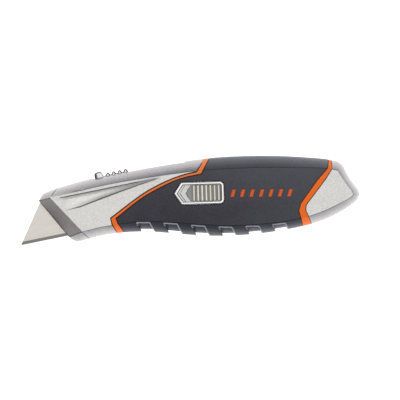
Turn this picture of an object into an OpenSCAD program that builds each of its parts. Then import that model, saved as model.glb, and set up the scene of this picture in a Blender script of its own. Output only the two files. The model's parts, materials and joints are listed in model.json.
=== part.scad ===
// Retractable utility knife lying on its right side.
// Drawn with the tip of the blade at the origin: X runs along the slide to the tail,
// Y runs from the belly to the spine, Z is the thickness and the knife lies on Z = 0.

/* [Body] */
// Length of the body from the nose corner to the tail, along the slide
body_len = 158; // [150:1:190]
// Depth of the body from the spine to the lowest point of the belly
body_depth = 44.6; // [43:0.1:54]
// Thickness of the body from face to face
body_t = 23; // [22:0.5:28]
// Half thickness of the nose at the mouth
nose_half = 3; // [2.5:0.1:4]
// Gap between the two half shells
part_gap = 0.2; // [0.1:0.05:0.4]
// Thickness of the rubber grip and of the colour stripes
skin = 1.8; // [1.5:0.1:2.4]
// Depth of the finger notches in the belly, less than the skin
notch_depth = 1.3; // [0.8:0.1:1.4]
// Distance from one finger notch to the next
notch_pitch = 13.2; // [12:0.1:14]
// Depth of the scoop in the front face
scoop_depth = 0.7; // [0.3:0.1:1]

/* [Blade] */
// Length of the cutting edge of the blade
blade_len = 61; // [50:0.5:61]
// Height of the blade from the cutting edge to its back
blade_height = 19; // [16:0.1:19]
// Thickness of the blade
blade_t = 0.6; // [0.4:0.02:0.8]
// How far each slanted end of the blade leans in
blade_lean = 13.5; // [10:0.5:14]
// Height of the ground bevel on the cutting edge
bevel_h = 1.6; // [1:0.1:2]
// How far the tip stands out of the nose corner
blade_out = 13.2; // [10:0.1:14]
// How far the tip goes behind the mouth when it is drawn in
tip_cover = 2.6; // [1.5:0.1:4]
// Width of the notch in the back of the blade
key_w = 3.2; // [2.4:0.1:4]

/* [Carrier and thumb button] */
// Thickness of the blade carrier
carrier_t = 4.2; // [3.9:0.1:4.6]
// Sliding clearance beside the carrier and the blade
slide_gap = 0.3; // [0.2:0.05:0.4]
// Length of the thumb button
button_len = 16.8; // [14:0.1:18]
// Width of the thumb button
button_w = 7; // [6:0.1:8]
// Travel of the thumb button when it is pressed
press_travel = 1; // [0.6:0.1:1.2]
// Thickness of the tab under the thumb button
tab_t = 2; // [1.6:0.1:2.4]

/* [Cover pivot] */
// Radius of the pivot shank
pivot_r = 2; // [1.5:0.1:2.5]
// Radial running clearance of the pivot
pivot_gap = 0.05; // [0.03:0.01:0.1]

/* [Side latch] */
// Half width of the latch frame
frame_half = 5.35; // [4.8:0.05:6]
// Width of the latch frame's rim
frame_w = 1; // [0.7:0.05:1.2]
// Travel of the latch
latch_travel = 4; // [3:0.1:4.2]
// Lean of the latch from the slide direction, in degrees
latch_lean = 9.85; // [5:0.05:15]

/* [Hidden] */
$fn = 48;
eps = 0.01;
half_t = body_t / 2;
kx = body_len / 158.1;
ky = body_depth / 44.57;
mid = half_t;

// Stations of the outline: outer edge x and y, face edge x and y, and how round the rim is.
// x counts from the nose corner.
spine_line = [
    [0, 20, 6.3, 20.3, 0],
    [2.2, 22.6, 7.8, 20.35, 0.4],
    [4.8, 23.6, 9.6, 20.4, 0.8],
    [10.7, 24.5, 13.4, 20.5, 1],
    [19, 25.2, 19.8, 20.65, 1],
    [28, 25.7, 28.4, 20.9, 1],
    [38, 25.77, 38.2, 20.95, 1],
    [47.7, 25.77, 47.9, 20.7, 1],
    [57, 25.6, 57, 20.3, 1],
    [66, 25.3, 65.8, 19.8, 1],
    [76.1, 24.85, 75.7, 19.1, 1],
    [86.3, 24.1, 85.4, 18.2, 1],
    [98.2, 22.6, 97, 16.6, 1],
    [112, 20.2, 110.8, 14.3, 1],
    [125.6, 17.2, 124.4, 11.6, 1],
    [137.2, 14.1, 135.6, 9.1, 1],
    [144.9, 11.8, 142.8, 7.4, 1],
    [150.5, 9.5, 146.6, 6, 1]
];
tail_line = [
    [152.6, 7.1, 149.1, 5, 1],
    [154.7, -0.1, 151.3, -0.4, 1],
    [157.6, -6.2, 153.9, -6, 1]
];
belly_line = [
    [158.1, -8.6, 154.4, -7.9, 1],
    [156.3, -11.2, 153.2, -9.2, 1],
    [151.9, -13.7, 149.8, -10.4, 1],
    [145.3, -16.1, 143.3, -12.2, 1],
    [138.9, -17.6, 137.3, -13.5, 1],
    [132.6, -18.5, 131.4, -14.3, 1],
    [125.3, -18.8, 124.3, -14.6, 1],
    [116.5, -18.7, 115.4, -14.4, 1],
    [105.6, -18.1, 104.3, -13.2, 1],
    [92.9, -16.6, 91, -11.1, 1],
    [80.2, -14.2, 78, -7.9, 1],
    [66.8, -10.6, 65, -4.2, 1],
    [53.6, -6.7, 52.8, -1.1, 1],
    [41.6, -4.3, 41.3, 0.3, 1],
    [29.6, -3.3, 29.8, 0.95, 1],
    [21.3, -3.6, 22.9, 0.75, 1],
    [14.6, -3.8, 20.2, 0.6, 0.6],
    [11.2, -0.7, 18.7, 0.5, 0]
];

// A smooth curve through the stations, with n steps between two of them.
function blend(a, b, c, d, t) = 0.5 * (2 * b + (c - a) * t
    + (2 * a - 5 * b + 4 * c - d) * t * t + (3 * b - a - 3 * c + d) * t * t * t);
function last(p) = len(p) - 1;
function curve(p, n) = [
    for (i = [0:last(p) - 1])
        for (s = [0:n - 1])
            blend(p[max(i - 1, 0)], p[i], p[i + 1], p[min(i + 2, last(p))], s / n)
];
function with_end(p, n) = concat(curve(p, n), [p[last(p)]]);
function backward(p) = [for (i = [last(p):-1:0]) p[i]];
function placed(p) = [for (q = p) [blade_out + q[0] * kx, q[1] * ky]];

steps = 2;
stations = concat(with_end(spine_line, steps), tail_line, with_end(belly_line, steps));
count = len(stations);
outer_edge = placed(stations);
face_edge = placed([for (q = stations) [q[2], q[3]]]);

// Unit vector from outline point i into the body.
function inward(i) =
    let (d = outer_edge[(i + 1) % count] - outer_edge[(i + count - 1) % count])
    [d[1], -d[0]] / norm(d);

// The rim is an arc that meets the face at this angle.
rim_arc = 60;
rings = 5;
face_shift = 0.6;
function rim_in(k) = (1 - cos(rim_arc * k / rings)) / (1 - cos(rim_arc));
function rim_up(k, top) = top * sin(rim_arc * k / rings) / sin(rim_arc);
function facet_up(k, top) = k == 0 ? 0 : nose_half + (top - nose_half) * rim_in(k);

function ring_point(i, k, inset) =
    let (
        top = half_t - inset,
        a = outer_edge[i] + inward(i) * inset,
        b = face_edge[i] + inward(i) * inset * face_shift,
        r = stations[i][4],
        p = a + (b - a) * rim_in(k),
        z = r * rim_up(k, top) + (1 - r) * facet_up(k, top)
    )
    [p[0], p[1], z];

// One half of the body, drawn smaller by the inset, with straight walls down past the
// parting plane.
skirt = 3;
module half_body(inset) {
    foot = [for (i = [0:count - 1]) ring_point(i, 0, inset) - [0, 0, skirt + inset]];
    points = concat(foot,
        [for (k = [0:rings]) for (i = [0:count - 1]) ring_point(i, k, inset)]);
    low = [for (k = [0:rings]) for (i = [0:count - 1])
        [k * count + i, k * count + (i + 1) % count, (k + 1) * count + (i + 1) % count]];
    high = [for (k = [0:rings]) for (i = [0:count - 1])
        [k * count + i, (k + 1) * count + (i + 1) % count, (k + 1) * count + i]];
    under = [[for (i = [count - 1:-1:0]) i]];
    over = [[for (i = [0:count - 1]) (rings + 1) * count + i]];
    polyhedron(points = points, faces = concat(low, high, under, over));
}

// All that lies below the parting plane of a half.
module parting_cut() {
    translate([-blade_out, -body_depth, -2 * skirt])
        cube([body_len + 4 * blade_out, 3 * body_depth, 2 * skirt + part_gap / 2]);
}

// Edges of the two colour stripes, x from the nose corner.
front_a = placed(concat(
    [[92, 34], [85.4, 24.2]],
    with_end([[80.2, 18.5], [71.7, 18.1], [61, 16], [50.1, 12.3], [33.7, 4.4]], 3),
    [[33.8, 1.2], [35.2, -3.4], [39, -14]]));
front_b = placed(concat(
    [[96, 34], [87.9, 23.6]],
    with_end([[82.4, 16.7], [71.5, 16.4], [61, 14.1], [50.1, 10.4], [36.6, 3.6]], 3),
    [[37, 1.2], [39, -3.8], [43, -14]]));
rear_a = placed([
    [149, 18], [145.7, 10.6], [144.4, 7.2], [138.1, 2.3], [127.8, -7.3],
    [126.1, -10.7], [126.7, -18.6], [127.4, -26]]);
rear_b = placed([
    [151.5, 18], [147.3, 9.9], [146.6, 6.35], [142.7, 2.3], [130.4, -8.6],
    [129.6, -11.1], [131.4, -18.4], [133, -26]]);

module between(a, b) {
    translate([0, 0, -1])
        linear_extrude(half_t + 2)
            polygon(concat(a, backward(b)));
}

// One piece of the skin, cut from the half body between two edges.
module skin_piece(a, b) {
    difference() {
        intersection() {
            half_body(0);
            between(a, b);
        }
        half_body(skin);
        parting_cut();
    }
}

// Finger notches in the belly.
notch_n = 6;
notch_w = 6.3;
notch_lean = 2.6;
notch_run = 9;
notch_y = [-0.4, -3.4, -7.2, -10.7, -13.1, -14.9];
notch_drop = [1.3, 1.7, 1.7, 1.5, 1.2, 0.6];
module notches() {
    difference() {
        translate([0, 0, -1])
            linear_extrude(half_t)
                for (i = [0:notch_n - 1])
                    let (
                        x = 46 + notch_pitch * i,
                        y = notch_y[i],
                        e = y - notch_drop[i]
                    )
                    polygon(placed([
                        [x, y], [x + notch_w, e],
                        [x + notch_w + notch_lean, e - notch_run], [x + notch_lean, y - notch_run]]));
        half_body(notch_depth);
    }
}

module grip_half() {
    difference() {
        skin_piece(front_b, rear_a);
        notches();
    }
}

// Scoop in the front face, deepest along its lower edge, with a long slope at its front end.
scoop_top = 19.3;
scoop_lip = 0.2;
scoop_front = [9.6, 19.3];
scoop_turn = -63.4;
scoop_slope = 6;
scoop_edge = [
    [9.6, 19.3], [13, 12.5], [19.6, 12.9], [30.1, 14.6], [40.7, 16.3], [51.2, 17.7], [61, 19],
    [50, 19.3], [30, 19.2]];
scoop_fall = atan(scoop_depth / (6.6 * ky));
module scoop() {
    at = placed([scoop_front])[0];
    intersection() {
        translate([0, scoop_top * ky, half_t - scoop_lip])
            rotate([scoop_fall, 0, 0])
                linear_extrude(3)
                    translate([0, -scoop_top * ky])
                        polygon(placed(scoop_edge));
        translate([at[0], at[1], half_t])
            rotate([0, 0, scoop_turn])
                rotate([-scoop_slope, 0, 0])
                    translate([-body_depth, 0, 0])
                        cube([2 * body_depth, body_len, body_t]);
    }
}

module shell_half() {
    difference() {
        half_body(0);
        difference() {
            between(front_a, rear_b);
            half_body(skin);
        }
        scoop();
        parting_cut();
    }
}

module upper() {
    translate([0, 0, mid])
        children();
}
module lower() {
    translate([0, 0, mid])
        mirror([0, 0, 1])
            children();
}

// Blade and carrier.
spine_y = 25.77 * ky;
mouth_x = blade_out + 11.2 * kx;
slide_travel = mouth_x + tip_cover;
blade_z = mid - 0.15 - blade_t;
carrier_x0 = slide_travel;
carrier_x1 = blade_len + 2;
carrier_y0 = 2;
carrier_y1 = blade_height - 0.6;
carrier_z = blade_z - carrier_t;
key_x = blade_len / 2 + 5.6;
key_d = 2.2;

module blade_shape() {
    polygon([
        [0, 0], [blade_len, 0], [blade_len - blade_lean, blade_height],
        [blade_lean, blade_height]]);
}

// A flat blade with its bevel and its two notches, lying on z = 0.
module blade_body() {
    fall = atan(blade_t / 2 / bevel_h);
    difference() {
        linear_extrude(blade_t)
            blade_shape();
        for (s = [-1, 1])
            translate([blade_len / 2 + s * 5.6 - key_w / 2, blade_height - key_d, -1])
                cube([key_w, key_d + 1, blade_t + 2]);
        translate([-1, 0, blade_t / 2])
            rotate([fall, 0, 0])
                translate([0, -2, 0])
                    cube([blade_len + 2, bevel_h * 2 + 2, 2]);
        translate([-1, 0, blade_t / 2])
            rotate([-fall, 0, 0])
                translate([0, -2, -2])
                    cube([blade_len + 2, bevel_h * 2 + 2, 2]);
    }
}

// Thumb button, its tab and spring.
button_back = 0.447;
button_x0 = carrier_x0 + button_back * (carrier_x1 - carrier_x0);
button_y0 = blade_height + press_travel + 0.2;
button_z = mid - button_w / 2;
slot_gap = 0.2;
slot_x0 = button_x0 - 0.8;
slot_x1 = button_x0 + button_len + slide_travel + 1.6;
tab_x = button_x0 + 7;
tab_w = 5;
tab_z = carrier_z + (carrier_t - tab_t) / 2;
tab_gap = 0.15;
tab_y0 = carrier_y1 - 5;
spring_len = 4;
spring_wire = 0.25;
strip_w = 1.4;
strip_top = spine_y - 2.2;
strip_low = strip_top - 1.4;
tooth_gap = 0.2;
tooth_w = 2;
flange_w = 1.4;
flange_h = 0.9;
flange_z = button_z - flange_w;
teeth = 4;
tooth_pitch = 3;

button_edge = concat(
    [[0, button_y0 - spine_y], [0, 1.5], [0.9, 2.3], [3.6, 2.3], [4.5, -0.2]],
    [for (i = [0:teeth - 1])
        let (c = 6.8 + tooth_pitch * i)
        each [[c - 1.3, -0.2], [c - 0.5, 1.2], [c + 0.4, 1.2], [c + 0.9, -0.2]]],
    [[button_len, -0.2], [button_len, button_y0 - spine_y]]);

// A helix of round wire standing on z = 0.
coil_steps = 12;
wire_sides = 6;
module coil(length, radius, wire, turns) {
    n = turns * coil_steps;
    r = radius - wire;
    rise = (length - 2 * wire) / n;
    points = [for (i = [0:n]) for (k = [0:wire_sides - 1])
        let (a = 360 * i / coil_steps, b = 360 * k / wire_sides, q = r + wire * cos(b))
        [q * cos(a), q * sin(a), wire + rise * i + wire * sin(b)]];
    low = [for (i = [0:n - 1]) for (k = [0:wire_sides - 1])
        [i * wire_sides + k, i * wire_sides + (k + 1) % wire_sides,
            (i + 1) * wire_sides + (k + 1) % wire_sides]];
    high = [for (i = [0:n - 1]) for (k = [0:wire_sides - 1])
        [i * wire_sides + k, (i + 1) * wire_sides + (k + 1) % wire_sides,
            (i + 1) * wire_sides + k]];
    start = [[for (k = [wire_sides - 1:-1:0]) k]];
    end = [[for (k = [0:wire_sides - 1]) n * wire_sides + k]];
    polyhedron(points = points, faces = concat(low, high, start, end));
}

// Room cut out of the two halves for the slide, the button and the spare blades.
spare_n = 3;
spare_lean = 7.5;
spare_x = blade_out + 70.8 * kx;
spare_y = -5.8 * ky;
floor_z = skin + 1.4;
magnet_t = 1.4;
magnet_r = 6;
magnet_at = [30, 8];
spare_z = floor_z + magnet_t;
spare_gap = 0.4;
pivot_x = blade_out + 143 * kx;
pivot_y = -3.8 * ky;
head_r = pivot_r + 1.8;
head_h = 2.4;
head_z = 0.8;
washer_r = head_r + 0.6;
washer_t = 0.8;

module in_spare_frame() {
    translate([spare_x, spare_y, 0])
        rotate([0, 0, -spare_lean])
            children();
}

module spare_room() {
    in_spare_frame() {
        translate([0, 0, spare_z])
            linear_extrude(body_t)
                polygon([
                    [-spare_gap * 2, -spare_gap], [blade_len + spare_gap * 2, -spare_gap],
                    [blade_len - blade_lean + spare_gap, blade_height + spare_gap],
                    [blade_lean - spare_gap, blade_height + spare_gap]]);
        translate([magnet_at[0], magnet_at[1], floor_z])
            cylinder(h = magnet_t + 1, r = magnet_r);
    }
}

module button_room() {
    room_z = button_w / 2 + slot_gap;
    translate([slot_x0, blade_height - 0.6, mid - room_z])
        cube([slot_x1 - slot_x0, body_depth, 2 * room_z]);
}

module head_seat() {
    translate([pivot_x, pivot_y, -1])
        cylinder(h = head_z + head_h + 0.05 + 1, r = head_r + 0.4);
}

module base_shell() {
    color("silver")
        difference() {
            lower()
                shell_half();
            // The blade's own room and its mouth.
            translate([-1, -slide_gap, blade_z - slide_gap / 3])
                cube([blade_len + slide_travel + 1 + slide_gap, blade_height + 2 * slide_gap, mid]);
            // The carrier's room.
            translate([carrier_x0 - slide_gap, carrier_y0 - slide_gap, carrier_z - slide_gap / 3])
                cube([
                    carrier_x1 - carrier_x0 + slide_travel + 2 * slide_gap,
                    carrier_y1 - carrier_y0 + 2 * slide_gap, mid]);
            button_room();
            // Room beside the slot for the flange and the detent strip.
            translate([slot_x0, blade_height - 0.6, flange_z - slot_gap])
                cube([slot_x1 - slot_x0, strip_top - blade_height + 0.6, mid]);
            spare_room();
            // Pivot bore and washer seat, then the head seat.
            translate([pivot_x, pivot_y, 0]) {
                translate([0, 0, -1])
                    cylinder(h = body_t, r = pivot_r + pivot_gap);
                translate([0, 0, mid - washer_t])
                    cylinder(h = body_t, r = washer_r + 0.3);
            }
            head_seat();
        }
}

module spare_blade(i) {
    color("lightsteelblue")
        in_spare_frame()
            translate([0, 0, spare_z + i * blade_t])
                blade_body();
}
module spare_blade_1() {
    spare_blade(0);
}
module spare_blade_2() {
    spare_blade(1);
}
module spare_blade_3() {
    spare_blade(2);
}

module spare_magnet() {
    color("dimgray")
        in_spare_frame()
            translate([magnet_at[0], magnet_at[1], floor_z])
                cylinder(h = magnet_t, r = magnet_r);
}

module base_grip() {
    color([0.13, 0.13, 0.15])
        lower()
            grip_half();
}
module base_front_stripe() {
    color("orangered")
        lower()
            skin_piece(front_a, front_b);
}
module base_rear_stripe() {
    color("orangered")
        difference() {
            lower()
                skin_piece(rear_a, rear_b);
            head_seat();
        }
}
module cover_front_stripe() {
    color("orangered")
        upper()
            skin_piece(front_a, front_b);
}
module cover_rear_stripe() {
    color("orangered")
        upper()
            skin_piece(rear_a, rear_b);
}

module blade() {
    color("lightsteelblue")
        translate([0, 0, blade_z])
            blade_body();
}

module blade_carrier() {
    color("gray")
        union() {
            difference() {
                translate([carrier_x0, carrier_y0, carrier_z])
                    cube([carrier_x1 - carrier_x0, carrier_y1 - carrier_y0, carrier_t]);
                translate([
                    tab_x - tab_gap, tab_y0 - spring_len, tab_z - tab_gap])
                    cube([tab_w + 2 * tab_gap, body_depth, tab_t + 2 * tab_gap]);
            }
            // Peg that fills the blade's notch.
            translate([key_x - key_w / 2 + 0.1, blade_height - key_d + 0.1, blade_z - eps])
                cube([key_w - 0.2, carrier_y1 - blade_height + key_d - 0.1, blade_t + eps]);
            // Wall behind the blade.
            translate([blade_len + 0.1, carrier_y0, blade_z - eps])
                cube([carrier_x1 - blade_len - 0.1, 10, blade_t + eps]);
        }
}

module thumb_button() {
    color("dimgray")
        union() {
            translate([button_x0, spine_y, button_z])
                linear_extrude(button_w)
                    polygon(button_edge);
            translate([tab_x, tab_y0, tab_z])
                cube([tab_w, button_y0 - tab_y0 + 1, tab_t]);
            translate([button_x0, button_y0, flange_z])
                cube([button_len, flange_h, flange_w + 1]);
            translate([button_x0 + button_len / 2 - tooth_w / 2, button_y0, flange_z])
                cube([tooth_w, strip_low - tooth_gap - button_y0, flange_w]);
        }
}

module button_spring() {
    color("silver")
        translate([tab_x + tab_w / 2, tab_y0 - spring_len, tab_z + tab_t / 2])
            rotate([-90, 0, 0])
                coil(spring_len, tab_t / 2, spring_wire, 5);
}

// Strip with a notch for each stop of the button's tooth.
module detent_strip() {
    color("slategray")
        difference() {
            translate([slot_x0, strip_low, flange_z - slot_gap])
                cube([slot_x1 - slot_x0, strip_top - strip_low, strip_w]);
            for (s = [0, 0.5, 1])
                translate([
                    button_x0 + button_len / 2 - tooth_w / 2 - 0.3 + s * slide_travel,
                    strip_low - 1, flange_z - 1])
                    cube([tooth_w + 0.6, 1.7, strip_w + 2]);
        }
}

module pivot_washer() {
    color("silver")
        translate([pivot_x, pivot_y, mid - washer_t])
            difference() {
                cylinder(h = washer_t, r = washer_r);
                translate([0, 0, -1])
                    cylinder(h = washer_t + 2, r = pivot_r + 0.3);
            }
}

// Side latch, drawn in its own frame: x along its travel to the tail, y to the spine.
latch_x = blade_out + 79.8 * kx;
latch_y = 7.7 * ky;
frame_rear = 11.8;
frame_front = 12.6;
frame_slant = 56;
frame_round = 2;
pocket_gap = 0.5;
seat_z = body_t - 4;
shelf_t = 1.8;
plate_t = 1;
chevron_t = 0.4;
pad_gap = 0.2;
pad_z = seat_z + plate_t + chevron_t + pad_gap;
pad_top = body_t - 0.7;
rib_top = body_t + 0.8;
frame_top = body_t + 0.4;
pad_half = frame_half - frame_w - 0.5;
pad_rear = frame_rear - frame_w - 0.3;
pad_front = -7.2;
stem_l = 4;
stem_w = 3;
stem_gap = 0.2;
room_z = seat_z - shelf_t;
bar_t = 2;
bar_z = room_z - 0.1 - bar_t;
bar_x0 = -6;
bar_x1 = 6;
bar_half = 3;
latch_spring_len = 9;
retainer_t = 1.4;
retainer_z = bar_z - 0.1 - retainer_t;
retainer_x0 = bar_x0 - latch_spring_len - 5;
retainer_x1 = bar_x1 + 5;
retainer_half = 4.5;
screw_r = 1;
screw_head_r = 1.9;
screw_head_h = 1;

module in_latch_frame(z) {
    translate([latch_x, latch_y, z])
        rotate([0, 0, -latch_lean])
            children();
}

function corner(cx, cy, r, from) = [
    for (s = [0:4])
        [cx + r * cos(from + s * 22.5), cy + r * sin(from + s * 22.5)]];

// Outline of the latch frame made larger by d.
function frame_edge(d) =
    let (
        r = frame_round + d,
        cx = frame_rear - frame_round,
        cy = frame_half - frame_round,
        tip = -frame_front - d / sin(frame_slant),
        sx = tip + (frame_half + d) / tan(frame_slant)
    )
    concat(
        corner(cx, -cy, r, -90), corner(cx, cy, r, 0),
        [[sx, frame_half + d], [tip, 0], [sx, -frame_half - d]]);

pad_slant = pad_half / tan(frame_slant);
pad_edge = [
    [pad_rear, -pad_half], [pad_rear, pad_half],
    [pad_front + pad_slant, pad_half], [pad_front, 0], [pad_front + pad_slant, -pad_half]];

module cover_grip() {
    color([0.13, 0.13, 0.15])
        difference() {
            upper()
                grip_half();
            in_latch_frame(seat_z)
                linear_extrude(body_t)
                    polygon(frame_edge(pocket_gap));
        }
}

module stem_slot(gap) {
    translate([-stem_l / 2 - latch_travel - gap, -stem_w / 2 - gap, 0])
        cube([stem_l + latch_travel + 2 * gap, stem_w + 2 * gap, body_t]);
}

module retainer_holes(r, z, h) {
    for (x = [retainer_x0 + 2.5, retainer_x1 - 2.5])
        translate([x, 0, z])
            cylinder(h = h, r = r);
}

// Pockets that lighten the cover, with ribs left between them.
bay_n = 3;
bay_x0 = blade_out + 19.8 * kx;
bay_pitch = 14 * kx;
bay_w = bay_pitch - 2;
module cover_bays() {
    for (i = [0:bay_n - 1])
        translate([bay_x0 + bay_pitch * i, 3, 0])
            cube([bay_w, 10 * ky, body_t - 3]);
}

module cover_shell() {
    color("silver")
        difference() {
            upper()
                shell_half();
            button_room();
            cover_bays();
            in_latch_frame(seat_z)
                linear_extrude(body_t)
                    polygon(frame_edge(pocket_gap));
            in_latch_frame(mid)
                stem_slot(stem_gap);
            // Channel for the bar and its spring.
            in_latch_frame(0)
                translate([bar_x0 - latch_spring_len, -bar_half - 0.3, 0])
                    cube([bar_x1 - bar_x0 + latch_spring_len + 0.1, 2 * bar_half + 0.6, room_z]);
            // Seat for the retainer and holes for its screws.
            in_latch_frame(0) {
                translate([retainer_x0 - 0.3, -retainer_half - 0.3, 0])
                    cube([
                        retainer_x1 - retainer_x0 + 0.6, 2 * retainer_half + 0.6,
                        retainer_z + retainer_t]);
                retainer_holes(screw_r, retainer_z, retainer_t + 2.6);
            }
            translate([pivot_x, pivot_y, 0])
                cylinder(h = body_t - 4.3, r = pivot_r);
        }
}

module pivot_screw() {
    color("gray")
        translate([pivot_x, pivot_y, 0])
            difference() {
                union() {
                    translate([0, 0, head_z])
                        cylinder(h = head_h, r = head_r);
                    translate([0, 0, head_z])
                        cylinder(h = body_t - 4.5 - head_z, r = pivot_r);
                }
                translate([-head_r, -0.5, 0])
                    cube([2 * head_r, 1, head_z + 1]);
            }
}

module latch_bezel() {
    color("white")
        in_latch_frame(seat_z)
            linear_extrude(frame_top - seat_z)
                difference() {
                    polygon(frame_edge(0));
                    polygon(frame_edge(-frame_w));
                }
}

chevron_w = 4.2;
module latch_arrow_plate() {
    inner = -frame_w - 0.05;
    color("gainsboro")
        in_latch_frame(seat_z)
            difference() {
                union() {
                    linear_extrude(plate_t)
                        polygon(frame_edge(inner));
                    linear_extrude(plate_t + chevron_t)
                        difference() {
                            polygon(frame_edge(inner));
                            translate([chevron_w * 1.2, 0])
                                polygon(frame_edge(2));
                        }
                }
                translate([0, 0, -1])
                    stem_slot(stem_gap);
            }
}

ribs = 7;
rib_pitch = 2.05;
rib_w = 1.1;
module latch_button() {
    color("silver")
        in_latch_frame(0)
            difference() {
                union() {
                    translate([0, 0, pad_z])
                        linear_extrude(pad_top - pad_z)
                            polygon(pad_edge);
                    for (i = [0:ribs - 1])
                        translate([pad_rear - 0.6 - rib_w - rib_pitch * i, -pad_half, pad_z])
                            cube([rib_w, 2 * pad_half, rib_top - pad_z]);
                    translate([-stem_l / 2, -stem_w / 2, bar_z + bar_t])
                        cube([stem_l, stem_w, pad_z - bar_z - bar_t + 0.2]);
                }
                // Slope on the pointed front of the pad.
                translate([pad_front, 0, pad_z + 0.5])
                    rotate([0, -14, 0])
                        translate([-2, -10, 0])
                            cube([5.4, 20, 5]);
                translate([0, 0, bar_z])
                    cylinder(h = bar_t + 3, r = screw_r, $fn = 24);
            }
}

module latch_bar() {
    color("gray")
        in_latch_frame(0)
            difference() {
                translate([bar_x0, -bar_half, bar_z])
                    cube([bar_x1 - bar_x0, 2 * bar_half, bar_t]);
                translate([0, 0, bar_z - 1])
                    cylinder(h = bar_t + 2, r = screw_r, $fn = 24);
                translate([0, 0, bar_z - 1])
                    cylinder(h = screw_head_h + 1, r = screw_head_r, $fn = 24);
            }
}

module small_screw(length) {
    difference() {
        union() {
            cylinder(h = screw_head_h, r = screw_head_r, $fn = 24);
            cylinder(h = screw_head_h + length, r = screw_r, $fn = 24);
        }
        translate([-screw_head_r, -0.25, -1])
            cube([2 * screw_head_r, 0.5, 1.4]);
    }
}

module latch_screw() {
    color("gray")
        in_latch_frame(bar_z)
            small_screw(bar_t - screw_head_h + 2.8);
}

module latch_spring() {
    color("silver")
        in_latch_frame(bar_z + bar_t / 2)
            translate([bar_x0, 0, 0])
                rotate([0, -90, 0])
                    coil(latch_spring_len, bar_t / 2, spring_wire, 8);
}

module latch_retainer() {
    color("lightgray")
        in_latch_frame(0)
            difference() {
                translate([retainer_x0, -retainer_half, retainer_z])
                    cube([retainer_x1 - retainer_x0, 2 * retainer_half, retainer_t]);
                retainer_holes(screw_r, retainer_z - 1, retainer_t + 2);
            }
}

module retainer_screws() {
    color("gray")
        in_latch_frame(retainer_z - screw_head_h)
            for (x = [retainer_x0 + 2.5, retainer_x1 - 2.5])
                translate([x, 0, 0])
                    small_screw(retainer_t + 2.4);
}

// The origin is the middle of the footprint.
x_far = max([for (p = outer_edge) p[0]]);
y_low = min([for (p = outer_edge) p[1]]);
y_top = spine_y + 2.3;
translate([-x_far / 2, -(y_low + y_top) / 2, 0]) {
    base_shell();
    base_grip();
    base_front_stripe();
    base_rear_stripe();
    cover_shell();
    cover_grip();
    cover_front_stripe();
    cover_rear_stripe();
    blade();
    blade_carrier();
    thumb_button();
    button_spring();
    detent_strip();
    spare_blade_1();
    spare_blade_2();
    spare_blade_3();
    spare_magnet();
    pivot_screw();
    pivot_washer();
    latch_bezel();
    latch_arrow_plate();
    latch_button();
    latch_bar();
    latch_screw();
    latch_spring();
    latch_retainer();
    retainer_screws();
}
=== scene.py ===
"""Finishes and fine detail for a retractable utility knife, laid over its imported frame.

Every length in the classes but the studio's is in millimetres in the design frame: the tip
of the blade is the origin, X runs to the tail, Y to the spine and Z is the thickness.
"""

import json
import logging
import math
from dataclasses import dataclass
from enum import Enum
from functools import lru_cache
from typing import Callable, Dict, Tuple, Union

import bpy
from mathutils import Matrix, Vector


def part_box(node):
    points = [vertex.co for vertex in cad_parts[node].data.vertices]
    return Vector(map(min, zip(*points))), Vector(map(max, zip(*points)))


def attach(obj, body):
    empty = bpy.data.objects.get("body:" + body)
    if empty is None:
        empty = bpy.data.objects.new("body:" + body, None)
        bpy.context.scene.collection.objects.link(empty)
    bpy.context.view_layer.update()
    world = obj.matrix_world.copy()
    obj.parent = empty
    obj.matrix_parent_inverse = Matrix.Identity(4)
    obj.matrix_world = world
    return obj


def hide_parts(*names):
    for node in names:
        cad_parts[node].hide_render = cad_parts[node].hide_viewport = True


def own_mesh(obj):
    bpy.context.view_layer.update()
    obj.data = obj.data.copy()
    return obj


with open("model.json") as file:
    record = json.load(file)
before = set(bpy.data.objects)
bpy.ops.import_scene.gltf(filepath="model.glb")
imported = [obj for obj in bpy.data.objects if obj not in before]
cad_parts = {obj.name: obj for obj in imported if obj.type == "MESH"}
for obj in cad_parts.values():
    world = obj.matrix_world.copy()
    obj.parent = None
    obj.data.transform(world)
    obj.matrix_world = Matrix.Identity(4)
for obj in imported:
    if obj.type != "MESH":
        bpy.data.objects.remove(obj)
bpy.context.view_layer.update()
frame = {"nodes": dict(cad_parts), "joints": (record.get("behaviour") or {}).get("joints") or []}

LOG = logging.getLogger("knife")

MM = 0.001
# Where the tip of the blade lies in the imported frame.
TIP_X = -85.6
TIP_Y = -4.634
# How far the latch leans against the handle, in degrees.
LATCH_LEAN = 9.85
# Corners nearer than this, in millimetres, become one.
WELD_GAP = 0.002
# Faces that meet at less than this, in degrees, become one.
FLAT_ANGLE = 0.5
# Faces that meet at more than this, in degrees, are a sliver folded over.
FOLD_ANGLE = 150.0
# Faces of a wire that meet at less than this, in degrees, are shaded smooth.
WIRE_ANGLE = 32.0
# The attribute that is 1 on rounded edges.
EDGE_MARK = "rounded_edge"

Colour = Tuple[float, float, float]
Point = Tuple[float, float]
Line = Tuple[Point, Point]
# Where a mask is one half, and the width of its slope. For a line, its half width comes first.
Step = Tuple[float, float]


# ---------------------------------------------------------------- shader maths


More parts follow.
